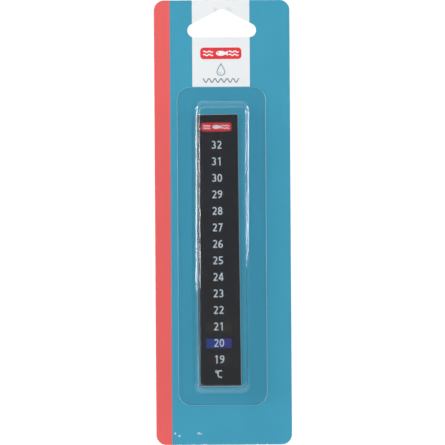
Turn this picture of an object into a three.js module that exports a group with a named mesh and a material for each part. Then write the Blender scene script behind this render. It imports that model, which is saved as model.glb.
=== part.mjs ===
// A stick-on liquid-crystal strip thermometer for aquarium glass, sealed under a clear blister on a card.
//
// Millimetres. +Z runs up the card, -Y is the printed front and +X is to the right as the front is read.
// The origin is where a display peg carries the card: the peak of the hang slot, midway through the board.
// The card, its seal coat and the blister are single pieces. The thermometer is a laminate that lies loose
// in the blister's pocket, so its layers form a group that is turned a little, as a loose strip lies.

import * as THREE from "three";

// ---- Driving dimensions ---------------------------------------------------------------------------------

// The thermometer strip
const stripWidth = 20;
const stripCorner = 0.6;
const stripTilt = THREE.MathUtils.degToRad(0.4); // how far the loose strip lies off the card's axis
const stripGapLeft = 0.58; // between the liner and the pocket's left wall, where the strip is closest
const stripGapBelow = 1.93; // between the liner and the pocket's lower wall

// Layers of the strip, from the card side to the reader's side
const linerThickness = 0.1;
const adhesiveThickness = 0.06;
const backingThickness = 0.04;
const crystalThickness = 0.04;
const filmThickness = 0.16;
const layerGap = 0.02; // between laminated layers
const inkGap = 0.08; // between the mask and the film, where the numerals' ink lies
const linerOverhang = 0.12; // the liner is cut a little larger than the laminate it carries

// The scale
const coldestMark = 19;
const hottestMark = 32;
const litMark = 20; // the patch that shows its colour, at room temperature
const markPitch = 7.9;
const headMargin = 14.6; // from the strip's upper end to the middle of the hottest patch
const footMargin = 12.7; // from the middle of the coldest patch to the strip's lower end
const patchWidth = 12.6;
const patchHeight = 4.8;
const patchShiftX = -0.3; // the patches are printed this far off the strip's middle
const windowClearance = 0.05; // between a patch and the edge of its window in the mask

// The blister
const sheetThickness = 0.3;
const pocketDepth = 5; // from the flange's front to the pocket's outer face
const pocketDraft = 2.3; // how far each wall leans in over that depth
const pocketSideSlack = 5.8; // the pocket's inner width over the strip's
const pocketEndSlack = 8.2; // the pocket's inner length over the strip's
const pocketCorner = 3.2; // at the flange
const footFillet = 0.7; // where a wall leaves the flange, on the outside
const brimFillet = 1.1; // where a wall meets the face, on the outside
const flangeSide = 8;
const flangeEnd = 6.8;
const flangeCorner = 6;
const blisterShiftX = -0.45; // the blister sits this far off the card's middle

// The seal coat under the flange
const sealThickness = 0.06;
const sealInset = 0.6; // from the flange's outer edge
const sealPocketMargin = 0.8; // from the pocket's outline

// The card
const boardThickness = 0.5;
const cardCorner = 5;
const cardSideMargin = 11.3; // beside the blister, on average
const cardFootMargin = 18.8; // below the blister
const slotToBlister = 23.9; // from the slot's foot to the blister's upper edge
const slotTopMargin = 4.4; // from the slot's peak to the card's upper edge

// The hang slot: two round lobes under a low roof with a round peak
const slotWidth = 32.8;
const slotHeight = 13.4;
const slotLobeRadius = 3.3;
const slotPeakRadius = 3;

// Roundness
const cornerSteps = 8;
const filletSteps = 4;

// ---- Sizes worked out from them -------------------------------------------------------------------------

const stripLength = headMargin + (hottestMark - coldestMark) * markPitch + footMargin;
const linerWidth = stripWidth + 2 * linerOverhang;
const linerLength = stripLength + 2 * linerOverhang;
const pocketInnerWidth = stripWidth + pocketSideSlack;
const pocketInnerLength = stripLength + pocketEndSlack;
const pocketWidth = pocketInnerWidth + 2 * sheetThickness;
const pocketLength = pocketInnerLength + 2 * sheetThickness;
const blisterWidth = pocketWidth + 2 * flangeSide;
const blisterLength = pocketLength + 2 * flangeEnd;
const blisterTopZ = -slotHeight - slotToBlister;
const pocketMiddleZ = blisterTopZ - blisterLength / 2;
const tiltedHalfWidth = (linerWidth * Math.cos(stripTilt) + linerLength * Math.sin(stripTilt)) / 2;
const tiltedHalfLength = (linerLength * Math.cos(stripTilt) + linerWidth * Math.sin(stripTilt)) / 2;
const stripMiddleX = blisterShiftX - pocketInnerWidth / 2 + stripGapLeft + tiltedHalfWidth;
const stripMiddleZ = pocketMiddleZ - pocketInnerLength / 2 + stripGapBelow + tiltedHalfLength;
const cardWidth = blisterWidth + 2 * cardSideMargin;
const cardTopZ = slotTopMargin;
const cardBottomZ = blisterTopZ - blisterLength - cardFootMargin;
const cardFrontY = -boardThickness / 2;
const sealBackY = cardFrontY - layerGap;
const flangeBackY = sealBackY - sealThickness - layerGap;

// ---- Helpers --------------------------------------------------------------------------------------------

/** A rounded rectangle as a shape, centred on (x, z). */
function roundedRectangle(width, length, corner, x = 0, z = 0, path = new THREE.Shape()) {
  const halfWidth = width / 2 - corner;
  const halfLength = length / 2 - corner;
  const quarter = Math.PI / 2;
  path.absarc(x + halfWidth, z - halfLength, corner, -quarter, 0, false);
  path.absarc(x + halfWidth, z + halfLength, corner, 0, quarter, false);
  path.absarc(x - halfWidth, z + halfLength, corner, quarter, 2 * quarter, false);
  path.absarc(x - halfWidth, z - halfLength, corner, 2 * quarter, 3 * quarter, false);
  path.closePath();
  return path;
}

/** A plain rectangle as a shape or a hole, centred on (x, z). */
function rectangle(width, length, x = 0, z = 0, path = new THREE.Shape()) {
  path.moveTo(x - width / 2, z - length / 2);
  path.lineTo(x + width / 2, z - length / 2);
  path.lineTo(x + width / 2, z + length / 2);
  path.lineTo(x - width / 2, z + length / 2);
  path.closePath();
  return path;
}

/** A flat plate of a shape drawn in X and Z, with its back at y = 0 and its front at -thickness. */
function plate(shape, thickness) {
  const geometry = new THREE.ExtrudeGeometry(shape, {
    depth: thickness,
    bevelEnabled: false,
    curveSegments: cornerSteps,
  });
  return geometry.rotateX(Math.PI / 2);
}

/** A named mesh whose back stands at a given y. */
function part(name, geometry, material, backY = 0) {
  const mesh = new THREE.Mesh(geometry, material);
  mesh.name = name;
  mesh.position.y = backY;
  return mesh;
}

// ---- Finishes -------------------------------------------------------------------------------------------

const printedBoard = new THREE.MeshStandardMaterial({ color: 0x419cbb, roughness: 0.55 });
const sealLacquer = new THREE.MeshStandardMaterial({ color: 0x4091b0, roughness: 0.3 });
const clearSheet = new THREE.MeshStandardMaterial({
  color: 0xf4fafc,
  roughness: 0.06,
  transparent: true,
  opacity: 0.25,
});
const clearFilm = new THREE.MeshStandardMaterial({
  color: 0xf2f6f8,
  roughness: 0.12,
  transparent: true,
  opacity: 0.3,
});
const maskBlack = new THREE.MeshStandardMaterial({ color: 0x1d1f22, roughness: 0.5 });
const crystalDark = new THREE.MeshStandardMaterial({ color: 0x201f20, roughness: 0.45 });
const crystalLit = new THREE.MeshStandardMaterial({ color: 0x2b3a8c, roughness: 0.45 });
const backingBlack = new THREE.MeshStandardMaterial({ color: 0x0d0d0e, roughness: 0.7 });
const adhesiveClear = new THREE.MeshStandardMaterial({ color: 0xe6e2d2, roughness: 0.5 });
const linerPaper = new THREE.MeshStandardMaterial({ color: 0xf0eee6, roughness: 0.6 });

// ---- Card -----------------------------------------------------------------------------------------------

/** The slot's outline: three round corners with straight edges that run on smoothly between them. */
function slotOutline() {
  const lobeX = slotWidth / 2 - slotLobeRadius;
  const lobeZ = -slotHeight + slotLobeRadius;
  const rise = -slotPeakRadius - lobeZ; // from a lobe's centre to the peak's
  const slope = Math.atan2(rise, lobeX);
  const lift = Math.asin((slotLobeRadius - slotPeakRadius) / Math.hypot(lobeX, rise));
  const roofNormal = Math.PI / 2 - slope + lift; // the direction that the right roof edge faces
  const outline = new THREE.Path();
  outline.absarc(lobeX, lobeZ, slotLobeRadius, -Math.PI / 2, roofNormal, false);
  outline.absarc(0, -slotPeakRadius, slotPeakRadius, roofNormal, Math.PI - roofNormal, false);
  outline.absarc(-lobeX, lobeZ, slotLobeRadius, Math.PI - roofNormal, 1.5 * Math.PI, false);
  outline.closePath();
  return outline;
}

/** The printed board that everything hangs on. */
function hangCard() {
  const height = cardTopZ - cardBottomZ;
  const middleZ = (cardTopZ + cardBottomZ) / 2;
  const board = roundedRectangle(cardWidth, height, cardCorner, 0, middleZ);
  board.holes.push(slotOutline());
  return part("hang_card", plate(board, boardThickness), printedBoard, boardThickness / 2);
}

/** The lacquer that bonds the flange to the card: a frame around the pocket. */
function sealCoat() {
  const frame = roundedRectangle(
    blisterWidth - 2 * sealInset,
    blisterLength - 2 * sealInset,
    flangeCorner - sealInset,
    blisterShiftX,
    pocketMiddleZ,
  );
  const window = roundedRectangle(
    pocketWidth + 2 * sealPocketMargin,
    pocketLength + 2 * sealPocketMargin,
    pocketCorner + sealPocketMargin,
    blisterShiftX,
    pocketMiddleZ,
    new THREE.Path(),
  );
  frame.holes.push(window);
  return part("seal_coat", plate(frame, sealThickness), sealLacquer, sealBackY);
}

// ---- Blister --------------------------------------------------------------------------------------------

/** Points of a polyline with its inner corners rounded, each by its own radius. */
function rounded(points, radii) {
  const result = [points[0]];
  for (let i = 1; i < points.length - 1; i += 1) {
    const toPrevious = points[i - 1].clone().sub(points[i]).normalize();
    const toNext = points[i + 1].clone().sub(points[i]).normalize();
    const halfAngle = toPrevious.angleTo(toNext) / 2;
    const bisector = toPrevious.clone().add(toNext).normalize();
    const centre = points[i].clone().addScaledVector(bisector, radii[i] / Math.sin(halfAngle));
    const start = points[i].clone().addScaledVector(toPrevious, radii[i] / Math.tan(halfAngle));
    const end = points[i].clone().addScaledVector(toNext, radii[i] / Math.tan(halfAngle));
    const from = start.sub(centre).angle();
    let sweep = end.sub(centre).angle() - from;
    if (sweep > Math.PI) sweep -= 2 * Math.PI;
    if (sweep < -Math.PI) sweep += 2 * Math.PI;
    const { x, y } = centre;
    const arc = new THREE.EllipseCurve(x, y, radii[i], radii[i], from, from + sweep, sweep < 0);
    result.push(...arc.getPoints(filletSteps));
  }
  result.push(points.at(-1));
  return result;
}

/** The points of a rounded rectangle at one height, the same number for every size. */
function ring(width, length, corner, height) {
  const outline = roundedRectangle(width, length, corner);
  const flat = outline.getPoints(cornerSteps);
  const last = flat.length - 1;
  if (flat[0].distanceTo(flat[last]) < 1e-6) flat.length = last;
  return flat.map((p) => new THREE.Vector3(p.x, -height, p.y));
}

/** One closed surface through rings of equally many points, capped flat at both ends. */
function loft(rings) {
  const count = rings[0].length;
  const positions = rings.flat().flatMap((p) => [p.x, p.y, p.z]);
  const faces = [];
  for (let i = 0; i + 1 < rings.length; i += 1) {
    for (let j = 0; j < count; j += 1) {
      const k = (j + 1) % count;
      const [a, b, c, d] = [i * count + j, i * count + k, (i + 1) * count + k, (i + 1) * count + j];
      faces.push(a, c, b, a, d, c);
    }
  }
  const lastRing = (rings.length - 1) * count;
  for (let j = 1; j + 1 < count; j += 1) {
    faces.push(0, j, j + 1);
    faces.push(lastRing, lastRing + j + 1, lastRing + j);
  }
  const geometry = new THREE.BufferGeometry();
  geometry.setAttribute("position", new THREE.Float32BufferAttribute(positions, 3));
  geometry.setIndex(faces);
  geometry.computeVertexNormals();
  return geometry;
}

/** The formed sheet: flange, leaning walls and face, of one thickness all over. */
function blister() {
  const lean = Math.atan(pocketDraft / pocketDepth);
  const across = sheetThickness / Math.cos(lean); // the wall's thickness, measured level
  const faceHeight = pocketDepth + sheetThickness;
  const reach = flangeSide / 2; // how far along flange and face a fillet may start
  const wall = (height) => (height - sheetThickness) * Math.tan(lean);
  const profile = (backHeight, frontHeight, shift, footRadius, brimRadius) =>
    rounded(
      [
        new THREE.Vector2(wall(backHeight) + shift - reach, backHeight),
        new THREE.Vector2(wall(backHeight) + shift, backHeight),
        new THREE.Vector2(wall(frontHeight) + shift, frontHeight),
        new THREE.Vector2(wall(frontHeight) + shift + reach, frontHeight),
      ],
      [0, footRadius, brimRadius, 0],
    ).slice(1);
  const outside = profile(sheetThickness, faceHeight, 0, footFillet, brimFillet);
  const inside = profile(
    0,
    faceHeight - sheetThickness,
    across,
    footFillet + sheetThickness,
    brimFillet - sheetThickness,
  );
  const pocketRing = (p) =>
    ring(
      pocketWidth - 2 * p.x,
      pocketLength - 2 * p.x,
      Math.max(pocketCorner - p.x, brimFillet - sheetThickness),
      p.y,
    );
  const flangeRing = (height) => ring(blisterWidth, blisterLength, flangeCorner, height);
  const geometry = loft([
    ...outside.slice(0, -1).reverse().map(pocketRing),
    flangeRing(sheetThickness),
    flangeRing(0),
    ...inside.slice(0, -1).map(pocketRing),
  ]);
  geometry.translate(blisterShiftX, 0, pocketMiddleZ);
  return part("blister", geometry, clearSheet, flangeBackY);
}

// ---- Thermometer strip ----------------------------------------------------------------------------------

/** Height of a mark's patch above the strip's middle. */
function markZ(mark) {
  return stripLength / 2 - headMargin - (hottestMark - mark) * markPitch;
}

/** The black print with a window for every patch. */
function maskPrint() {
  const outline = roundedRectangle(stripWidth, stripLength, stripCorner);
  for (let mark = coldestMark; mark <= hottestMark; mark += 1) {
    outline.holes.push(
      rectangle(
        patchWidth + 2 * windowClearance,
        patchHeight + 2 * windowClearance,
        patchShiftX,
        markZ(mark),
        new THREE.Path(),
      ),
    );
  }
  return plate(outline, crystalThickness);
}

/** The strip: liner, adhesive, black coat, crystal patches in their mask, and the film over them. */
function thermometer() {
  const laminate = () => roundedRectangle(stripWidth, stripLength, stripCorner);
  const liner = roundedRectangle(linerWidth, linerLength, stripCorner + linerOverhang);
  const group = new THREE.Group();
  let backY = cardFrontY - layerGap;
  const lay = (name, geometry, material, thickness, gap) => {
    group.add(part(name, geometry, material, backY));
    backY -= thickness + gap;
  };
  lay("release_liner", plate(liner, linerThickness), linerPaper, linerThickness, layerGap);
  lay("adhesive", plate(laminate(), adhesiveThickness), adhesiveClear, adhesiveThickness, layerGap);
  lay("backing_coat", plate(laminate(), backingThickness), backingBlack, backingThickness, layerGap);
  for (let mark = coldestMark; mark <= hottestMark; mark += 1) {
    const outline = rectangle(patchWidth, patchHeight, patchShiftX, markZ(mark));
    const material = mark === litMark ? crystalLit : crystalDark;
    group.add(part(`crystal_patch_${mark}`, plate(outline, crystalThickness), material, backY));
  }
  lay("mask_print", maskPrint(), maskBlack, crystalThickness, inkGap);
  lay("face_film", plate(laminate(), filmThickness), clearFilm, filmThickness, 0);
  group.rotation.y = -stripTilt;
  group.position.set(stripMiddleX, 0, stripMiddleZ);
  return group;
}

// ---- Assembly -------------------------------------------------------------------------------------------

const pack = new THREE.Group();
pack.add(hangCard());
pack.add(sealCoat());
pack.add(blister());
pack.add(thermometer());

export default pack;
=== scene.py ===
"""Looks of a strip thermometer that lies in a clear blister on its printed hang card.

Everything is in metres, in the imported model's frame: +Z runs up the card and -Y is its printed front.
The card, the blister and the printed marks are modelled here. The strip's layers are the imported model's own
solids with finishes of their own.
"""

import math
from contextlib import contextmanager

import bmesh
import bpy
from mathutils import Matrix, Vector


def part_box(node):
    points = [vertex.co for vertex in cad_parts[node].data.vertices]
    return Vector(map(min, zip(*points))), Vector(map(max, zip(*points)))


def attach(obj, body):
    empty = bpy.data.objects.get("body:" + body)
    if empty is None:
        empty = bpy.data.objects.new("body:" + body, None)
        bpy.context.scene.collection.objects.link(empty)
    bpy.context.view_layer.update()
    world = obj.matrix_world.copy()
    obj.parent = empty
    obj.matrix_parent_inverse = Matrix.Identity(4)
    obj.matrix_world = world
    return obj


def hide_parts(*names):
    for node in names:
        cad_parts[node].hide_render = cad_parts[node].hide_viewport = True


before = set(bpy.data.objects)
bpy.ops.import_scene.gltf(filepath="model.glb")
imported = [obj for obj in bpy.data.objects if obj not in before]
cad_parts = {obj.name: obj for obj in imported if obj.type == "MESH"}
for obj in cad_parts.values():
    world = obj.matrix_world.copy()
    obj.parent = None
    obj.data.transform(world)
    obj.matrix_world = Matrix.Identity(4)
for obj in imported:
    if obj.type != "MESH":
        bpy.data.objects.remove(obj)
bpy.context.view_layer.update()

MM = 0.001

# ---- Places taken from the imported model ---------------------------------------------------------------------

card_low, card_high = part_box("hang_card")
blister_low, blister_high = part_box("blister")
mask_low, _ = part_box("mask_print")

MARKS = range(19, 33)
LIT_MARK = 20


def middle_of(node):
    low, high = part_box(node)
    return (low + high) / 2


coldest, hottest = (middle_of(f"crystal_patch_{mark}") for mark in (MARKS[0], MARKS[-1]))
strip_axis = (hottest - coldest).normalized()
strip_across = Vector((strip_axis.z, 0, -strip_axis.x))
mark_pitch = (hottest - coldest).length / (len(MARKS) - 1)

# ---- Sizes of what is modelled here -------------------------------------------------------------------------

# The card and its print
CARD_CORNER = 5 * MM
CUT_EDGE_CRUSH = 0.07 * MM
STRIPE_WIDTH = 7.6 * MM
PANEL_MIDDLE_X = -0.5 * MM
PANEL_WIDTH = 27.5 * MM
PANEL_FOOT_Z = -37.1 * MM

# The hang slot
SLOT_WIDTH = 32.8 * MM
SLOT_HEIGHT = 13.4 * MM
SLOT_LOBE_RADIUS = 3.3 * MM
SLOT_PEAK_RADIUS = 3 * MM

# The blister
SHEET = 0.3 * MM
FLANGE_SIDE = 8 * MM
FLANGE_END = 6.8 * MM
FLANGE_CORNER = 6 * MM
# How far in the walls stand from the pocket's plain outline, on each side
FOOT_INSET_LEFT = 1.18 * MM
FOOT_INSET_RIGHT = 1.28 * MM
FOOT_INSET_TOP = 1.14 * MM
FOOT_INSET_BOTTOM = 0.85 * MM
END_DRAFT = 0.9 * MM  # the two end walls lean in this much more than the side walls
FACE_SHIFT = 0.6 * MM  # the face lies this far to the right of the middle of the foot
FOOT_TURN = math.radians(0.5)  # and the foot is turned by this much under it
FLAT_HOLD = 0.2 * MM  # rings this far off a curve keep the flat sheet beside it flat
HOLD_STEP = 0.002 * MM  # the level of such a ring differs by this from the end of the curve
SAME_LEVEL = HOLD_STEP / 5  # points closer in depth than this are on one ring
RING_MARGIN = 2 * MM  # a point this far outside the foot's ring belongs to the sheet's rim
POCKET_CORNER = 4.6 * MM  # where the foot's curve starts
POCKET_CORNER_LOSS = 0.8  # the corners' radius shrinks by this share of the way in
POCKET_DRAFT = 0.66 * MM
FOOT_FILLET = 2.2 * MM
BRIM_FILLET = 1.2 * MM
WALL_BULGE = 0.05 * MM
FILLET_STEPS = 9
WALL_STEPS = 5
CUT_BURR = 0.14 * MM
RIM_BAND = 1.2 * CUT_BURR  # faces this close to the sheet's outline are its cut edge
POCKET_START = 0.4 * MM  # faces this far out from the flange are the pocket's

# Printed marks
INK = 0.012 * MM
NUMERAL_HEIGHT = 3.9 * MM
NUMERAL_STROKE = 0.138  # of the numeral's height
NUMERAL_ADVANCE = 0.685  # from one figure to the next, of the height
NUMERAL_RISE = 0.18 * MM  # above the middle of its crystal patch
FIGURE_WIDTH = 0.6  # of the height
PRINT_GAP = 0.004 * MM  # the ink's back stands this far off the mask, so that no two faces coincide
CARD_BADGE = (19.7 * MM, 5.5 * MM)
STRIP_BADGE = (14.6 * MM, 4.2 * MM)
CARD_BADGE_Z = -21.1 * MM
EMBLEM_Z = -28.9 * MM
WAVES_Z = -34.1 * MM
STRIP_BADGE_ABOVE_HOTTEST = 8.7 * MM
UNIT_BELOW_COLDEST = 6.8 * MM
UNIT_SHIFT = 0.4 * MM  # to the left of the strip's middle
UNIT_ADVANCE = 0.24  # from the degree ring to the letter, of the height
EMBLEM_STROKE = 0.5 * MM
DROP_HALF_HEIGHT = 2.7 * MM
WAVES_WIDTH = 17.4 * MM
WAVES_HALF_HEIGHT = 0.9 * MM
WAVES_COUNT = 6


# ---- Modelling helpers --------------------------------------------------------------------------------------


def add(operator, **settings):
    """A new primitive, alone in the selection, with its place applied to its mesh."""
    bpy.ops.object.select_all(action="DESELECT")
    operator(**settings)
    bpy.ops.object.transform_apply(location=True, rotation=True, scale=True)
    return bpy.context.object


@contextmanager
def editing(piece):
    """Edit mode on one piece."""
    bpy.ops.object.select_all(action="DESELECT")
    piece.select_set(True)
    bpy.context.view_layer.objects.active = piece
    bpy.ops.object.mode_set(mode="EDIT")
    yield
    bpy.ops.object.mode_set(mode="OBJECT")


def choose(piece, kind, test):
    """Selects the vertices, edges or faces that pass a test, and nothing else."""
    bpy.ops.mesh.select_mode(type=kind)
    bpy.ops.mesh.select_all(action="DESELECT")
    mesh = bmesh.from_edit_mesh(piece.data)
    elements = {"VERT": mesh.verts, "EDGE": mesh.edges, "FACE": mesh.faces}[kind]
    for element in elements:
        if test(element):
            element.select_set(True)
    mesh.select_flush_mode()
    bmesh.update_edit_mesh(piece.data)


def modify(piece, kind, **settings):
    """Adds a modifier and applies it."""
    bpy.ops.object.select_all(action="DESELECT")
    piece.select_set(True)
    bpy.context.view_layer.objects.active = piece
    modifier = piece.modifiers.new(kind.title(), kind)
    for name, value in settings.items():
        setattr(modifier, name, value)
    bpy.ops.object.modifier_apply(modifier=modifier.name)


def combine(piece, other, operation):
    """Joins another solid to a piece or cuts it away, and removes the other."""
    modify(piece, "BOOLEAN", object=other, operation=operation, solver="EXACT")
    bpy.data.objects.remove(other)
    return piece


def join(piece, others):
    """Makes several separate solids one piece."""
    bpy.ops.object.select_all(action="DESELECT")
    for other in [piece, *others]:
        other.select_set(True)
    bpy.context.view_layer.objects.active = piece
    bpy.ops.object.join()
    return piece


def smooth(piece, degrees):
    bpy.ops.object.select_all(action="DESELECT")
    piece.select_set(True)
    bpy.context.view_layer.objects.active = piece
    bpy.ops.object.shade_smooth_by_angle(angle=math.radians(degrees))


def finished(piece, name, body, slot, *materials):
    """Names a piece, gives it its finishes and lets it ride on a body."""
    piece.name = name
    piece.data.name = name
    piece.data.materials.clear()
    for material in materials:
        piece.data.materials.append(material)
    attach(piece, body)
    return piece


def along_y(edge):
    return abs((edge.verts[0].co - edge.verts[1].co).normalized().y) > 0.9


def rounded_slab(low, high, corner, segments=16):
    """A slab between two corners of its box, round at its four corners as it is read from the front."""
    slab = add(
        bpy.ops.mesh.primitive_cube_add,
        size=1,
        location=(low + high) / 2,
        scale=high - low,
    )
    with editing(slab):
        choose(slab, "EDGE", along_y)
        bpy.ops.mesh.bevel(offset=corner, segments=segments, affect="EDGES")
    return slab


def disc(x, z, radius_x, radius_z, low_y, high_y, sides=48, turn=0.0):
    """A flat disc or a figure with few sides, upright and facing the reader."""
    piece = add(
        bpy.ops.mesh.primitive_cylinder_add,
        vertices=sides,
        radius=1,
        depth=high_y - low_y,
        rotation=(math.radians(90), turn, 0),
        location=(0, 0, 0),
    )
    piece.scale = (radius_x, 1, radius_z)
    piece.location = (x, (low_y + high_y) / 2, z)
    bpy.ops.object.transform_apply(location=True, rotation=True, scale=True)
    return piece


# ---- Finishes -----------------------------------------------------------------------------------------------


class Wire:
    """A number in a node tree. Arithmetic on it adds Math nodes."""

    def __init__(self, tree, socket):
        self.tree = tree
        self.socket = socket

    def maths(self, operation, *values):
        return self.tree.node("ShaderNodeMath", {"operation": operation}, dict(enumerate(values)))

    def __add__(self, other):
        return self.maths("ADD", self, other)

    def __sub__(self, other):
        return self.maths("SUBTRACT", self, other)

    def __mul__(self, other):
        return self.maths("MULTIPLY", self, other)

    def __truediv__(self, other):
        return self.maths("DIVIDE", self, other)

    __radd__ = __add__
    __rmul__ = __mul__

    def __rsub__(self, other):
        return self.maths("SUBTRACT", other, self)

    def __abs__(self):
        return self.maths("ABSOLUTE", self)

    def __pow__(self, other):
        return self.maths("POWER", self, other)

    def least(self, other):
        return self.maths("MINIMUM", self, other)

    def most(self, other):
        return self.maths("MAXIMUM", self, other)

    def ramp(self, start, end):
        """Rises from 0 at start to 1 at end with soft ends. It falls where end is below start."""
        settings = {"interpolation_type": "SMOOTHSTEP"}
        if start < end:
            inputs = {"Value": self, "From Min": start, "From Max": end}
            return self.tree.node("ShaderNodeMapRange", settings, inputs)
        inputs = {"Value": self, "From Min": end, "From Max": start, "To Min": 1.0, "To Max": 0.0}
        return self.tree.node("ShaderNodeMapRange", settings, inputs)


class Tree:
    """A node tree that is built from values and links."""

    def __init__(self, owner):
        owner.use_nodes = True
        self.nodes = owner.node_tree.nodes
        self.links = owner.node_tree.links
        self.nodes.clear()

    def node(self, kind, settings=None, inputs=None, output=0):
        """Adds a node: its settings first, then the values or links of its sockets."""
        made = self.nodes.new(kind)
        for name, value in (settings or {}).items():
            setattr(made, name, value)
        for name, value in (inputs or {}).items():
            if isinstance(value, Wire):
                self.links.new(value.socket, made.inputs[name])
            else:
                made.inputs[name].default_value = value
        return Wire(self, made.outputs[output]) if made.outputs else made

    def place(self):
        """X, Y and Z of the point that is shaded."""
        spot = self.node("ShaderNodeTexCoord", output="Object")
        split = self.node("ShaderNodeSeparateXYZ", inputs={0: spot}).socket.node
        return [Wire(self, output) for output in split.outputs]

    def noise(self, grain, detail=3.0, roughness=0.55, stretch=(1, 1, 1)):
        """Soft noise whose patches are about one grain across, around 0.5."""
        spot = self.node("ShaderNodeTexCoord", output="Object")
        spot = self.node("ShaderNodeMapping", inputs={"Vector": spot, "Scale": stretch})
        inputs = {"Vector": spot, "Scale": 1 / grain, "Detail": detail, "Roughness": roughness}
        return self.node("ShaderNodeTexNoise", inputs=inputs, output="Fac")

    def mix(self, share, first, second):
        """A colour between two."""
        settings = {"data_type": "RGBA"}
        inputs = {0: share, 6: first, 7: second}
        return self.node("ShaderNodeMix", settings, inputs, output=2)

    def bump(self, height, depth, strength=1.0):
        inputs = {"Height": height, "Distance": depth, "Strength": strength}
        return self.node("ShaderNodeBump", inputs=inputs)

    def principled(self, **sockets):
        inputs = {name.replace("_", " ").title(): value for name, value in sockets.items()}
        if "Ior" in inputs:
            inputs["IOR"] = inputs.pop("Ior")
        return self.node("ShaderNodeBsdfPrincipled", inputs=inputs)

    def surface(self, shader):
        self.node("ShaderNodeOutputMaterial", inputs={"Surface": shader})


def material(name):
    made = bpy.data.materials.new(name)
    return made, Tree(made)


def colour(red, green, blue):
    """A colour for a socket, from the three numbers of a swatch on a screen."""
    channels = (channel / 255 for channel in (red, green, blue))
    return (*(c / 12.92 if c <= 0.04045 else ((c + 0.055) / 1.055) ** 2.4 for c in channels), 1.0)


def shade(base, factor):
    return (*(channel * factor for channel in base[:3]), 1.0)


PULP_WHITE = colour(246, 247, 247)


def edge_distance(tree):
    """How far a point is inside the card's outline."""
    x, _, z = tree.place()
    middle = (card_low + card_high) / 2
    half = (card_high - card_low) / 2
    across = abs(x - middle.x) - (half.x - CARD_CORNER)
    along = abs(z - middle.z) - (half.z - CARD_CORNER)
    outside = (across.most(0) ** 2 + along.most(0) ** 2) ** 0.5
    return CARD_CORNER - outside - across.most(along).least(0)


def spots(tree, places):
    """1 in the middle of each (x, z, radius) spot, falling to 0 at its rim."""
    x, _, z = tree.place()
    total = None
    for spot_x, spot_z, radius in places:
        away = ((x - spot_x * MM) ** 2 + (z - spot_z * MM) ** 2) ** 0.5
        spot = away.ramp(radius * MM, 0.2 * radius * MM)
        total = spot if total is None else total.most(spot)
    return total


# Places where the card has been knocked or rubbed: x, z and radius in millimetres
SCUFFS = [(-23.4, -202.9, 0.7), (-21.4, -204.1, 0.8), (-12.1, -203.2, 1.1), (-10.8, -203.4, 0.6)]
PEG_RUBS = [(1.3, 0.9, 0.5), (3.3, 0.1, 1.3), (-3.2, -0.1, 1.4), (4.4, -0.6, 0.9)]


def printed_ink(name, base, mottle=0.05):
    """Litho ink on coated board: fine mottle, a slow drift, and white fibres where the edge is knocked."""
    made, tree = material(name)
    fine = tree.noise(0.5 * MM, detail=4, roughness=0.7)
    slow = tree.noise(22 * MM, detail=2)
    tone = fine * 0.6 + slow * 0.4
    ink = tree.mix(tone.ramp(0.3, 0.7), shade(base, 1 - mottle), shade(base, 1 + mottle))
    inside = edge_distance(tree)
    speckle = tree.noise(0.9 * MM, detail=3, roughness=0.6)
    _, _, z = tree.place()
    low_edge = z.ramp(card_low.z + 3 * MM, card_low.z + 1 * MM)
    rim_wear = inside.ramp(0.45 * MM, 0.08 * MM) * speckle.ramp(0.52, 0.62) * (low_edge * 0.85 + 0.15)
    scuffed = spots(tree, SCUFFS) * speckle.ramp(0.42, 0.6)
    bare = rim_wear.most(scuffed)
    skin = tree.noise(0.25 * MM, detail=2)
    tree.surface(
        tree.principled(
            base_color=tree.mix(bare, ink, PULP_WHITE),
            roughness=0.42 + fine * 0.12 + bare * 0.3,
            normal=tree.bump(skin + bare * 0.5, 0.006 * MM, 0.5),
        )
    )
    return made


def panel_white():
    """The unprinted coated panel, rubbed a little grey where the peg bears."""
    made, tree = material("panel_white")
    fine = tree.noise(0.6 * MM, detail=4, roughness=0.7)
    paper = tree.mix(fine, colour(236, 239, 239), colour(241, 243, 243))
    streaks = tree.noise(0.5 * MM, detail=3, stretch=(0.5, 1, 1.6))
    rubbed = spots(tree, PEG_RUBS) * streaks.ramp(0.35, 0.65)
    skin = tree.noise(0.25 * MM, detail=2)
    tree.surface(
        tree.principled(
            base_color=tree.mix(rubbed * 0.45, paper, colour(150, 153, 155)),
            roughness=0.45 + fine * 0.1,
            normal=tree.bump(skin, 0.006 * MM, 0.5),
        )
    )
    return made


def raw_board(name, light, dark, fibre):
    """Uncoated pulp board: short fibres that lie mostly along the grain."""
    made, tree = material(name)
    fibres = tree.noise(fibre, detail=5, roughness=0.75, stretch=(1, 1, 0.35))
    cloud = tree.noise(9 * MM, detail=2)
    flecks = tree.noise(0.35 * MM, detail=1).ramp(0.68, 0.74)
    pulp = tree.mix((fibres * 0.7 + cloud * 0.3).ramp(0.3, 0.7), dark, light)
    tree.surface(
        tree.principled(
            base_color=tree.mix(flecks * 0.35, pulp, shade(dark, 0.6)),
            roughness=0.78 + fibres * 0.15,
            normal=tree.bump(fibres, 0.02 * MM, 0.6),
        )
    )
    return made


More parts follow.
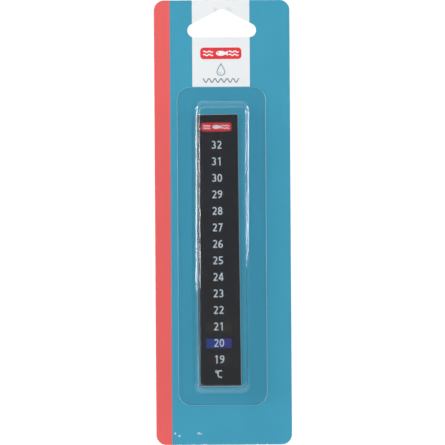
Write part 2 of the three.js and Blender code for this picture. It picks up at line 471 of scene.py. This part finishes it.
def clear_plastic(name, tint, roughness, waviness, wave_depth, lamp_share, frost=0.0):
    """Clear sheet that bends and mirrors light, and lets a share of the lamps' light through each face.

    Frost is the share of it that is milky instead of clear.
    """
    made, tree = material(name)
    wave = tree.noise(waviness, detail=0, stretch=(1, 1, 0.3))
    scratches = tree.noise(0.8 * MM, detail=2, stretch=(1, 1, 0.1)).ramp(0.7, 0.8)
    sheet = tree.principled(
        base_color=tint,
        roughness=roughness + scratches * 0.05,
        ior=1.46,
        transmission_weight=1 - frost,
        normal=tree.bump(wave, wave_depth),
    )
    gap = tree.node("ShaderNodeBsdfTransparent", inputs={"Color": shade(tint, lamp_share)})
    layers = sheet
    for kind in ("Is Shadow Ray", "Is Diffuse Ray"):
        ray = tree.node("ShaderNodeLightPath", output=kind)
        layers = tree.node("ShaderNodeMixShader", inputs={0: ray, 1: layers, 2: gap})
    tree.surface(layers)
    return made


def black_print(name, base, cast=None):
    """Screen-printed black with a faint orange peel, and a cast of another colour where crystals are near."""
    made, tree = material(name)
    fine = tree.noise(0.4 * MM, detail=4, roughness=0.7)
    slow = tree.noise(7 * MM, detail=2)
    tone = tree.mix(fine, shade(base, 0.8), shade(base, 1.25))
    if cast:
        tone = tree.mix(slow.ramp(0.35, 0.65), tone, cast)
    tree.surface(
        tree.principled(
            base_color=tone,
            roughness=0.38 + fine * 0.15,
            normal=tree.bump(fine, 0.004 * MM, 0.6),
        )
    )
    return made


def lit_crystal():
    """A crystal layer at its blue: greener to the left, more violet to the right, weaker at its rim."""
    made, tree = material("crystal_lit")
    x, _, z = tree.place()
    spot = middle_of(f"crystal_patch_{LIT_MARK}")
    across = (x - spot.x) / (6.3 * MM)
    cloud = tree.noise(1.6 * MM, detail=3)
    hue = (across * 0.5 + 0.5 + (cloud - 0.5) * 0.8).ramp(0.0, 1.0)
    blue = tree.mix(hue, colour(34, 66, 140), colour(52, 50, 132))
    rim = abs(across).ramp(0.8, 1.02).most((abs(z - spot.z) / (2.4 * MM)).ramp(0.8, 1.05))
    tree.surface(
        tree.principled(
            base_color=tree.mix(rim * 0.55, blue, colour(34, 38, 62)),
            roughness=0.4 + cloud * 0.1,
            normal=tree.bump(cloud, 0.004 * MM, 0.5),
        )
    )
    return made


def flat_ink(name, base, variation=0.06):
    """Screen ink: slightly uneven cover and a fine edge-to-edge texture."""
    made, tree = material(name)
    fine = tree.noise(0.3 * MM, detail=4, roughness=0.7)
    tree.surface(
        tree.principled(
            base_color=tree.mix(fine, shade(base, 1 - variation), shade(base, 1 + variation)),
            roughness=0.4 + fine * 0.15,
            normal=tree.bump(fine, 0.003 * MM, 0.5),
        )
    )
    return made


CORAL = colour(238, 98, 96)
TEAL = colour(61, 157, 186)

coral_ink = printed_ink("coral_ink", CORAL, 0.03)
teal_ink = printed_ink("teal_ink", TEAL, 0.05)
seal_teal = printed_ink("seal_teal", colour(58, 155, 185), 0.04)
white_panel = panel_white()
board_edge = raw_board("board_edge", colour(243, 243, 240), colour(222, 221, 216), 0.12 * MM)
board_back = raw_board("board_back", colour(232, 231, 226), colour(214, 212, 206), 0.5 * MM)
flange_sheet = clear_plastic("flange_sheet", (0.975, 0.975, 0.98, 1), 0.03, 9 * MM, 0.004 * MM, 0.985)
pocket_sheet = clear_plastic("pocket_sheet", (0.97, 0.97, 0.975, 1), 0.02, 9 * MM, 0.004 * MM, 0.925)
blister_cut = clear_plastic("blister_cut", (0.95, 0.96, 0.97, 1), 0.4, 2 * MM, 0.01 * MM, 0.85, 0.06)
film_clear = clear_plastic("film_clear", (0.975, 0.98, 0.985, 1), 0.06, 5 * MM, 0.008 * MM, 0.985)
mask_black = black_print("mask_black", colour(16, 19, 24))
backing_black = black_print("backing_black", colour(16, 16, 17))
crystal_dark = black_print("crystal_dark", colour(16, 18, 23))
crystal_warm = black_print("crystal_warm", colour(31, 30, 28), colour(44, 42, 30))
crystal_violet = black_print("crystal_violet", colour(31, 28, 31), colour(40, 31, 38))
crystal_blue = lit_crystal()
adhesive_clear = flat_ink("adhesive_clear", colour(226, 222, 206))
liner_paper = raw_board("liner_paper", colour(226, 226, 220), colour(212, 210, 202), 0.3 * MM)
numeral_white = flat_ink("numeral_white", colour(220, 233, 241))
badge_red = flat_ink("badge_red", colour(233, 50, 57), 0.05)
badge_white = flat_ink("badge_white", colour(246, 246, 246), 0.02)
emblem_grey = flat_ink("emblem_grey", colour(150, 168, 180), 0.05)
emblem_dark = flat_ink("emblem_dark", colour(118, 134, 146), 0.05)


# ---- The card -----------------------------------------------------------------------------------------------


def slot_cutter():
    """The slot as a solid: two lobes and a peak, with straight sides between them."""
    reach = 2 * (card_high.y - card_low.y)
    lobe_x = SLOT_WIDTH / 2 - SLOT_LOBE_RADIUS
    lobe_z = -SLOT_HEIGHT + SLOT_LOBE_RADIUS
    corners = [
        (lobe_x, lobe_z, SLOT_LOBE_RADIUS),
        (-lobe_x, lobe_z, SLOT_LOBE_RADIUS),
        (0, -SLOT_PEAK_RADIUS, SLOT_PEAK_RADIUS),
    ]
    discs = [disc(x, z, radius, radius, -reach, reach, sides=96) for x, z, radius in corners]
    cutter = join(discs[0], discs[1:])
    with editing(cutter):
        bpy.ops.mesh.select_all(action="SELECT")
        bpy.ops.mesh.convex_hull()
    return cutter


def printed_card():
    """The board, die-cut with a slightly crushed edge, its front divided where the print changes."""
    card = rounded_slab(card_low, card_high, CARD_CORNER, segments=20)
    combine(card, slot_cutter(), "DIFFERENCE")
    stripe_edge = card_low.x + STRIPE_WIDTH
    panel_left = PANEL_MIDDLE_X - PANEL_WIDTH / 2
    panel_right = PANEL_MIDDLE_X + PANEL_WIDTH / 2
    with editing(card):
        bpy.ops.mesh.select_all(action="SELECT")
        bpy.ops.mesh.remove_doubles(threshold=0.001 * MM)
        bpy.ops.mesh.select_mode(type="EDGE")
        bpy.ops.mesh.select_all(action="DESELECT")
        bpy.ops.mesh.edges_select_sharp(sharpness=math.radians(40))
        bpy.ops.mesh.bevel(offset=CUT_EDGE_CRUSH, segments=2, affect="EDGES")
        cuts = [
            ((stripe_edge, 0, 0), (1, 0, 0)),
            ((panel_left, 0, 0), (1, 0, 0)),
            ((panel_right, 0, 0), (1, 0, 0)),
            ((0, 0, PANEL_FOOT_Z), (0, 0, 1)),
        ]
        for plane_co, plane_no in cuts:
            choose(card, "FACE", lambda face: face.normal.y < -0.99)
            bpy.ops.mesh.bisect(plane_co=plane_co, plane_no=plane_no)
    finished(
        card, "printed_card", "card", "printed_board",
        teal_ink, coral_ink, white_panel, board_edge, board_back,
    )
    for face in card.data.polygons:
        if face.normal.y > 0.9:
            face.material_index = 4
        elif face.normal.y > -0.7:
            face.material_index = 3
        elif face.center.x < stripe_edge:
            face.material_index = 1
        elif panel_left < face.center.x < panel_right and face.center.z > PANEL_FOOT_Z:
            face.material_index = 2
    smooth(card, 20)
    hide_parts("hang_card")


printed_card()

# ---- The blister --------------------------------------------------------------------------------------------


def outline(middle, width, length, corner, turn=0, segments=14):
    """A rounded rectangle as one flat face that faces the reader."""
    sheet = add(
        bpy.ops.mesh.primitive_plane_add,
        size=1,
        rotation=(math.radians(90), 0, 0),
        location=(0, 0, 0),
    )
    sheet.scale = (width, 1, length)
    sheet.rotation_euler = (0, turn, 0)
    sheet.location = middle
    bpy.ops.object.transform_apply(location=True, rotation=True, scale=True)
    with editing(sheet):
        bpy.ops.mesh.select_all(action="SELECT")
        bpy.ops.mesh.bevel(offset=corner, segments=segments, affect="VERTICES")
    return sheet


def pocket_profile(depth):
    """Points down the wall from the flange to the face: how far in from the corner, and how far out."""
    lean = math.atan2(depth, POCKET_DRAFT)
    foot_x = -FOOT_FILLET * math.tan(lean / 2)
    brim_x = POCKET_DRAFT + BRIM_FILLET * math.tan(lean / 2)
    foot, brim = [], []
    for i in range(FILLET_STEPS + 1):
        turn = lean * i / FILLET_STEPS
        rise = 1 - math.cos(turn)
        foot.append((foot_x + FOOT_FILLET * math.sin(turn), FOOT_FILLET * rise))
        brim.append((brim_x - BRIM_FILLET * math.sin(turn), depth - BRIM_FILLET * rise))
    foot[0] = (foot_x, HOLD_STEP)
    foot.insert(0, (foot_x - FLAT_HOLD, 0))
    brim[0] = (brim_x, depth - HOLD_STEP)
    brim.insert(0, (brim_x + FLAT_HOLD, depth))
    brim.reverse()
    wall = []
    for i in range(1, WALL_STEPS):
        share = i / WALL_STEPS
        bulge = 4 * share * (1 - share) * WALL_BULGE
        inward, out = (a + (b - a) * share for a, b in zip(foot[-1], brim[0]))
        wall.append((inward - bulge * math.sin(lean), out + bulge * math.cos(lean)))
    return foot + wall + brim


def clear_blister():
    """A formed sheet: a flat flange, leaning walls with a round foot and brim, and a flat face."""
    middle = (blister_low + blister_high) / 2
    size = blister_high - blister_low
    foot_y = blister_high.y - SHEET
    pocket_width = size.x - 2 * FLANGE_SIDE - FOOT_INSET_LEFT - FOOT_INSET_RIGHT
    pocket_length = size.z - 2 * FLANGE_END - FOOT_INSET_TOP - FOOT_INSET_BOTTOM
    pocket_x = middle.x + (FOOT_INSET_LEFT - FOOT_INSET_RIGHT) / 2
    pocket_z = middle.z + (FOOT_INSET_BOTTOM - FOOT_INSET_TOP) / 2
    profile = pocket_profile(foot_y - blister_low.y)
    sheet = outline((middle.x, foot_y, middle.z), size.x, size.z, FLANGE_CORNER)
    rings = []
    for inward, out in profile:
        corner = POCKET_CORNER - POCKET_CORNER_LOSS * (inward - profile[0][0])
        share = out / profile[-1][1]
        place = (pocket_x + FACE_SHIFT * share, foot_y - out, pocket_z)
        width, length = pocket_width - 2 * inward, pocket_length - 2 * (inward + END_DRAFT * share)
        rings.append(outline(place, width, length, corner, FOOT_TURN * (1 - share)))
    join(sheet, rings)
    levels = [foot_y - out for _, out in profile]
    foot_half = pocket_width / 2 - profile[0][0]
    foot_half_length = pocket_length / 2 - profile[0][0]

    def on_ring(vertex, i):
        near_x = abs(vertex.co.x - pocket_x) < foot_half + RING_MARGIN
        near_z = abs(vertex.co.z - pocket_z) < foot_half_length + RING_MARGIN
        return abs(vertex.co.y - levels[i]) < SAME_LEVEL and near_x and near_z

    with editing(sheet):
        choose(sheet, "FACE", lambda face: face.calc_center_median().y > levels[-1] + SAME_LEVEL)
        bpy.ops.mesh.delete(type="ONLY_FACE")
        choose(sheet, "EDGE", lambda edge: all(abs(v.co.y - foot_y) < SAME_LEVEL for v in edge.verts))
        bpy.ops.mesh.bridge_edge_loops()
        for i in range(len(levels) - 1):
            choose(
                sheet,
                "EDGE",
                lambda edge: any(all(on_ring(v, j) for v in edge.verts) for j in (i, i + 1)),
            )
            bpy.ops.mesh.bridge_edge_loops()
        bpy.ops.mesh.select_all(action="SELECT")
        bpy.ops.mesh.normals_make_consistent(inside=False)
    modify(sheet, "SOLIDIFY", thickness=SHEET, offset=-1, use_even_offset=True)

    def cut_face(face):
        return abs(face.normal.y) < 0.3 and all(v.co.y > foot_y - 0.01 * MM for v in face.verts)

    with editing(sheet):
        choose(sheet, "FACE", cut_face)
        bpy.ops.mesh.region_to_loop()
        bpy.ops.mesh.bevel(offset=CUT_BURR, segments=3, affect="EDGES")
    finished(sheet, "clear_blister", "blister", "clear_sheet", flange_sheet, blister_cut, pocket_sheet)
    for face in sheet.data.polygons:
        rim_x = abs(face.center.x - middle.x) > size.x / 2 - RIM_BAND
        rim_z = abs(face.center.z - middle.z) > size.z / 2 - RIM_BAND
        burr = abs(face.normal.y) < 0.98 and face.center.y > foot_y
        if face.center.y < foot_y - POCKET_START:
            face.material_index = 2
        elif rim_x or rim_z or burr and abs(face.center.x - pocket_x) > foot_half + 1 * MM:
            face.material_index = 1
    smooth(sheet, 14)
    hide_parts("blister")


clear_blister()

# ---- Printed marks ------------------------------------------------------------------------------------------


def arc(x, z, radius_x, radius_z, start, end, steps=20):
    """Points along part of an ellipse, from one angle to another in degrees."""
    angles = (math.radians(start + (end - start) * i / steps) for i in range(steps + 1))
    return [(x + radius_x * math.cos(a), z + radius_z * math.sin(a)) for a in angles]


def ring(x, z, radius_x, radius_z):
    points = arc(x, z, radius_x, radius_z, 0, 360, steps=40)
    return [*points[:-1], points[0]]


def bend(start, pull, end, steps=14):
    """Points along a curve that leaves one point towards a second and arrives at a third."""
    shares = [i / steps for i in range(steps + 1)]
    weights = [((1 - t) ** 2, 2 * t * (1 - t), t * t) for t in shares]
    return [tuple(a * p + b * q + c * r for p, q, r in zip(start, pull, end)) for a, b, c in weights]


def stroke(path, width, low_y, high_y):
    """A flat ribbon along a path in X and Z: a rectangle carried along it, mitred at its bends.

    A path that ends where it starts makes a closed ring.
    """
    closed = path[0] == path[-1]
    points = [Vector((x, z)) for x, z in (path[:-1] if closed else path)]
    count = len(points)
    corners = []
    for i, point in enumerate(points):
        before = points[i - 1] if closed or i else point
        after = points[(i + 1) % count] if closed or i + 1 < count else point
        inward = (point - before).normalized() if before != point else (after - point).normalized()
        onward = (after - point).normalized() if after != point else inward
        tangent = (inward + onward).normalized()
        side = Vector((-tangent.y, tangent.x)) * (width / 2 / max(tangent.dot(onward), 0.4))
        for edge in (point + side, point - side):
            corners += [(edge.x, low_y, edge.y), (edge.x, high_y, edge.y)]
    faces = []
    for i in range(count if closed else count - 1):
        a, b = 4 * i, 4 * ((i + 1) % count)
        faces += [(a, a + 2, b + 2, b), (a + 1, b + 1, b + 3, a + 3)]
        faces += [(a, b, b + 1, a + 1), (a + 2, a + 3, b + 3, b + 2)]
    if not closed:
        last = 4 * (count - 1)
        faces += [(0, 1, 3, 2), (last, last + 2, last + 3, last + 1)]
    mesh = bpy.data.meshes.new("stroke")
    mesh.from_pydata(corners, [], faces)
    ribbon = bpy.data.objects.new("stroke", mesh)
    bpy.context.scene.collection.objects.link(ribbon)
    with editing(ribbon):
        bpy.ops.mesh.select_all(action="SELECT")
        bpy.ops.mesh.normals_make_consistent(inside=False)
    return ribbon


def turned_about(points):
    """A figure's path turned upside down about the middle of its box."""
    return [(FIGURE_WIDTH - x, 1 - z) for x, z in points]


SIX_BOWL = ring(0.3, 0.285, 0.212, 0.2)
SIX_SWEEP = bend((0.49, 0.9), (0.09, 0.86), (0.09, 0.28))

# Each figure is a list of strokes on a box FIGURE_WIDTH wide and 1 high
FIGURES = {
    "0": [ring(0.3, 0.5, 0.212, 0.414)],
    "1": [[(0.36, 0), (0.36, 1)], [(0.42, 0.945), (0.14, 0.8)]],
    "2": [
        arc(0.285, 0.7, 0.21, 0.214, 152, -28) + bend((0.44, 0.54), (0.3, 0.33), (0.13, 0.09))[2:],
        [(0.055, 0.086), (0.56, 0.086)],
    ],
    "3": [arc(0.27, 0.705, 0.2, 0.21, 140, -92), arc(0.27, 0.29, 0.225, 0.204, 92, -146)],
    "4": [[(0.43, 0), (0.43, 1)], [(0.4, 0.99), (0.075, 0.3)], [(0.02, 0.27), (0.6, 0.27)]],
    "5": [
        [(0.12, 0.914), (0.53, 0.914)],
        [(0.165, 0.95), (0.14, 0.46)],
        arc(0.265, 0.31, 0.235, 0.224, 118, -146),
    ],
    "6": [SIX_BOWL, SIX_SWEEP],
    "7": [[(0.05, 0.914), (0.565, 0.914)], [(0.5, 0.94), (0.21, 0)]],
    "8": [ring(0.3, 0.72, 0.178, 0.192), ring(0.3, 0.288, 0.212, 0.202)],
    "9": [turned_about(SIX_BOWL), turned_about(SIX_SWEEP)],
    "C": [arc(0.39, 0.5, 0.3, 0.414, 52, 308, steps=32)],
    "o": [ring(0.17, 0.8, 0.125, 0.125)],
}


def figure(character):
    """One figure in unit size, its strokes joined to one solid."""
    solids = []
    for path in FIGURES[character]:
        width = NUMERAL_STROKE * (0.72 if character == "o" else 1)
        solids.append(stroke(path, width, -0.5, 0.5))
    whole = solids[0]
    for other in solids[1:]:
        combine(whole, other, "UNION")
    return whole


def set_upright(piece, middle, scale, back_y, thickness=INK):
    """Places a unit figure on the strip: scaled, tilted as the strip is, its back at a given depth."""
    for vertex in piece.data.vertices:
        x, y, z = vertex.co
        spot = middle + strip_across * (x * scale) + strip_axis * (z * scale)
        vertex.co = (spot.x, back_y - (0.5 - y) * thickness, spot.z)
    piece.data.update()
    return piece


def legend(text, name, middle, back_y, advance=NUMERAL_ADVANCE):
    """A row of figures, centred on a point."""
    width = advance * (len(text) - 1) + FIGURE_WIDTH
    figures = []
    for i, character in enumerate(text):
        piece = figures_made[character].copy()
        piece.data = figures_made[character].data.copy()
        bpy.context.scene.collection.objects.link(piece)
        shift = i * advance - width / 2
        for vertex in piece.data.vertices:
            vertex.co += Vector((shift, 0, -0.5))
        set_upright(piece, middle, NUMERAL_HEIGHT, back_y)
        figures.append(piece)
    row = join(figures[0], figures[1:])
    finished(row, name, "thermometer", "numeral_ink", numeral_white)


figures_made = {character: figure(character) for character in FIGURES}
strip_ink_y = mask_low.y - PRINT_GAP
for mark in MARKS:
    middle = middle_of(f"crystal_patch_{mark}") + strip_axis * NUMERAL_RISE
    legend(str(mark), f"numeral_{mark}", middle, strip_ink_y)
unit_middle = coldest - strip_axis * UNIT_BELOW_COLDEST
legend("oC", "unit_mark", unit_middle - strip_across * UNIT_SHIFT, strip_ink_y, advance=UNIT_ADVANCE)
for spare in figures_made.values():
    bpy.data.objects.remove(spare)


def fish(size, low_y, high_y):
    """A plain fish: an oval body and a tail with an eye cut out, swimming to the left."""
    body = disc(0, 0, 0.5 * size, 0.26 * size, low_y, high_y)
    tail = disc(0.56 * size, 0, 0.3 * size, 0.3 * size, low_y, high_y, sides=3, turn=math.radians(-90))
    combine(body, tail, "UNION")
    reach = high_y - low_y
    eye = disc(-0.27 * size, 0.05 * size, 0.055 * size, 0.055 * size, low_y - reach, high_y + reach, sides=24)
    return combine(body, eye, "DIFFERENCE")


def shifted(piece, middle, across, upwards):
    """Moves a mark from the origin to its place, turned to its own axes."""
    for vertex in piece.data.vertices:
        x, y, z = vertex.co
        spot = middle + across * x + upwards * z
        vertex.co = (spot.x, y, spot.z)
    piece.data.update()
    return piece


def badge(name, middle, size, back_y, body, across, upwards):
    """A red plate with a fish and two ripples on it."""
    width, height = size
    plate_y = back_y - INK
    mark_y = plate_y - INK
    half = Vector((width / 2, 0, height / 2))
    plate = rounded_slab(Vector((-half.x, plate_y, -half.z)), Vector((half.x, back_y, half.z)), 0.3 * height)
    shifted(plate, middle, across, upwards)
    finished(plate, name, body, "badge_red_ink", badge_red)
    swimmer = fish(0.86 * height, mark_y, plate_y)
    ripples = []
    for side in (-1, 1):
        start = side * 0.31 * width
        for level in (-0.14, 0.14):
            steps = 24
            path = [
                (
                    start + (i / steps - 0.5) * 0.24 * width,
                    level * height + 0.055 * height * math.sin(4 * math.pi * i / steps),
                )
                for i in range(steps + 1)
            ]
            ripples.append(stroke(path, 0.1 * height, mark_y, plate_y))
    mark = join(swimmer, ripples)
    shifted(mark, middle, across, upwards)
    finished(mark, f"{name}_mark", body, "badge_white_ink", badge_white)


card_face_y = card_low.y
right, up = Vector((1, 0, 0)), Vector((0, 0, 1))
badge_middle = Vector((PANEL_MIDDLE_X, 0, CARD_BADGE_Z))
badge("card_badge", badge_middle, CARD_BADGE, card_face_y, "card", right, up)
badge_middle = hottest + strip_axis * STRIP_BADGE_ABOVE_HOTTEST
badge("strip_badge", badge_middle, STRIP_BADGE, strip_ink_y, "thermometer", strip_across, strip_axis)


def drop_emblem():
    """A water drop in outline with a highlight stroke inside it."""
    size = DROP_HALF_HEIGHT
    steps = 48
    path = []
    for i in range(steps):
        t = 2 * math.pi * i / steps
        path.append((0.95 * size * math.sin(t) * math.sin(t / 2) ** 1.4, size * math.cos(t)))
    path.append(path[0])
    front = card_face_y - INK
    drop = stroke(path, EMBLEM_STROKE, front, card_face_y)
    glint = stroke(arc(0, -0.25 * size, 0.34 * size, 0.36 * size, 200, 268), 0.3 * MM, front, card_face_y)
    join(drop, [glint])
    shifted(drop, Vector((PANEL_MIDDLE_X, 0, EMBLEM_Z)), right, up)
    finished(drop, "drop_emblem", "card", "emblem_ink", emblem_grey)


def wave_line():
    """A row of small waves under the emblem."""
    steps = 120
    front = card_face_y - INK
    path = []
    for i in range(steps + 1):
        t = i / steps
        path.append(((t - 0.5) * WAVES_WIDTH, WAVES_HALF_HEIGHT * math.cos(2 * math.pi * WAVES_COUNT * t)))
    line = stroke(path, EMBLEM_STROKE, front, card_face_y)
    shifted(line, Vector((PANEL_MIDDLE_X, 0, WAVES_Z)), right, up)
    finished(line, "wave_line", "card", "emblem_ink", emblem_dark)


drop_emblem()
wave_line()

# ---- The strip's own layers and the seal --------------------------------------------------------------------


def refinish(node, made):
    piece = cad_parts[node]
    piece.data.materials.clear()
    piece.data.materials.append(made)


refinish("seal_coat", seal_teal)
refinish("release_liner", liner_paper)
refinish("adhesive", adhesive_clear)
refinish("backing_coat", backing_black)
refinish("mask_print", mask_black)
refinish("face_film", film_clear)
PATCH_FINISHES = {19: crystal_violet, LIT_MARK: crystal_blue, 21: crystal_warm}
for mark in MARKS:
    refinish(f"crystal_patch_{mark}", PATCH_FINISHES.get(mark, crystal_dark))

# ---- Floor, light and camera --------------------------------------------------------------------------------

card_middle = (card_low + card_high) / 2
FLOOR_SIZE = 8
FLOOR_DROP = 450 * MM  # the card hangs on its peg, well above the floor
VIEW_HEIGHT = 213 * MM  # what the camera sees from top to bottom, at the card
CAMERA_SHIFT = Vector((-0.2 * MM, 0, -0.05 * MM))
CAMERA_ROLL = math.radians(0.36)
LENS = 180
SENSOR = 36

# Each lamp's place, the point it faces, its width and height in metres, and its radiance
LAMPS = {
    "side_left": ((-1.18, -0.26, 0.28), (0, 0, 0.1), 0.5, 0.92, 18),
    "side_right": ((1.18, -0.1, 0.28), (0, 0, 0.1), 0.34, 0.88, 31),
    "front_top": ((-0.45, -1.15, 1.0), card_middle, 1.0, 0.7, 2.2),
    "corner_glint": ((0.5, 0.25, -0.65), (0, 0, -0.19), 0.12, 0.12, 20),
    "back_light": ((0.5, 1.1, 0.4), card_middle, 0.9, 0.9, 1.2),
}


def studio_floor():
    """A pale floor that throws less light back up at the card than it seems to."""
    floor = add(bpy.ops.mesh.primitive_plane_add, size=FLOOR_SIZE, location=(0, 0, card_low.z - FLOOR_DROP))
    floor.name = "studio_floor"
    made, tree = material("pale_floor")
    tone = tree.noise(0.4, detail=2)
    pale = tree.principled(
        base_color=tree.mix(tone, (0.84, 0.84, 0.84, 1), (0.88, 0.88, 0.88, 1)),
        roughness=0.9,
        emission_color=(1, 1, 1, 1),
        emission_strength=0.3,
    )
    dim = tree.principled(base_color=(0.45, 0.45, 0.45, 1), roughness=0.9)
    seen = tree.node("ShaderNodeLightPath", output="Is Camera Ray")
    tree.surface(tree.node("ShaderNodeMixShader", inputs={0: seen, 1: dim, 2: pale}))
    floor.data.materials.append(made)


def softbox(name, location, target, width, height, radiance):
    """A rectangular lamp of a given brightness that faces a point, unseen by the camera itself."""
    data = bpy.data.lights.new(name, "AREA")
    data.shape = "RECTANGLE"
    data.size = width
    data.size_y = height
    data.energy = radiance * math.pi * width * height
    lamp = bpy.data.objects.new(name, data)
    bpy.context.scene.collection.objects.link(lamp)
    lamp.location = location
    lamp.rotation_euler = (Vector(target) - Vector(location)).to_track_quat("-Z", "Y").to_euler()
    lamp.visible_camera = False
    lamp.visible_transmission = False


def studio_light():
    """A dim room in front, a bright one behind, and softboxes all round."""
    world = bpy.data.worlds.new("studio")
    bpy.context.scene.world = world
    tree = Tree(world)
    way = tree.node("ShaderNodeTexCoord", output="Generated")
    split = tree.node("ShaderNodeSeparateXYZ", inputs={0: way}).socket.node
    _, y, z = (Wire(tree, output) for output in split.outputs)
    ceiling = z.ramp(0.35, 0.72)
    strength = 0.05 + y.ramp(-0.1, 0.7) * 0.5 + ceiling * 0.65
    tint = tree.mix(z.ramp(-0.012, -0.021), (0.93, 0.98, 1.04, 1), (1.06, 1.0, 0.96, 1))
    seen = tree.node("ShaderNodeLightPath", output="Is Camera Ray")
    room = tree.node("ShaderNodeBackground", inputs={"Color": tint, "Strength": strength})
    blank = tree.node("ShaderNodeBackground", inputs={"Color": (1, 1, 1, 1), "Strength": 1.05})
    whole = tree.node("ShaderNodeMixShader", inputs={0: seen, 1: room, 2: blank})
    tree.node("ShaderNodeOutputWorld", inputs={"Surface": whole})
    for name, settings in LAMPS.items():
        softbox(name, *settings)


def front_camera():
    """A long lens that looks straight at the printed front, level with the card's middle."""
    data = bpy.data.cameras.new("front_camera")
    data.lens = LENS
    data.sensor_width = SENSOR
    camera = bpy.data.objects.new("front_camera", data)
    bpy.context.scene.collection.objects.link(camera)
    distance = VIEW_HEIGHT * LENS / SENSOR
    camera.location = Vector((0, card_low.y - distance, card_middle.z)) + CAMERA_SHIFT
    camera.rotation_euler = (math.radians(90), CAMERA_ROLL, 0)
    bpy.context.scene.camera = camera


studio_floor()
studio_light()
front_camera()
bpy.context.scene.view_settings.view_transform = "Standard"
